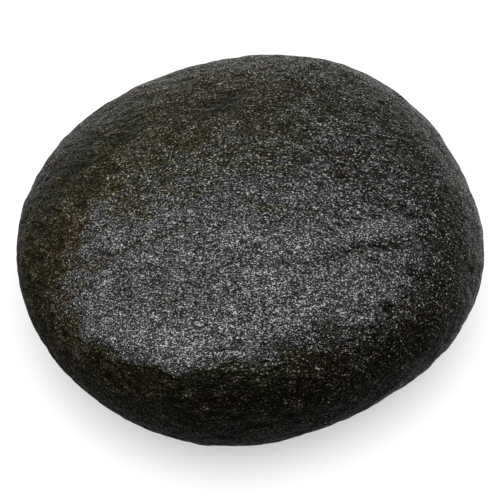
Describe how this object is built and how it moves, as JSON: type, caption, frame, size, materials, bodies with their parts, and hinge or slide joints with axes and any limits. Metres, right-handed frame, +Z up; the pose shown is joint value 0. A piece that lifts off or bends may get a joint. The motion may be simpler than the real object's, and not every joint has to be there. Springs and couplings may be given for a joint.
{
  "type": "massage stone",
  "caption": "Smooth oval pebble of dark basalt with a softly crowned face, rounded shoulders and a flat underside, held in the hand or laid on the body warm.",
  "frame": {"origin": "on the flat underside, below the middle of the stone", "axes": "+X along the stone's longest side, +Y towards its back, +Z up out of the crowned face"},
  "size_m": [0.08, 0.0774, 0.033],
  "materials": {
    "basalt": "tumbled and oiled dark basalt, satin with fine glinting grain and small pits"
  },
  "bodies": {
    "root": {"stone": "basalt"}
  },
  "joints": []
}
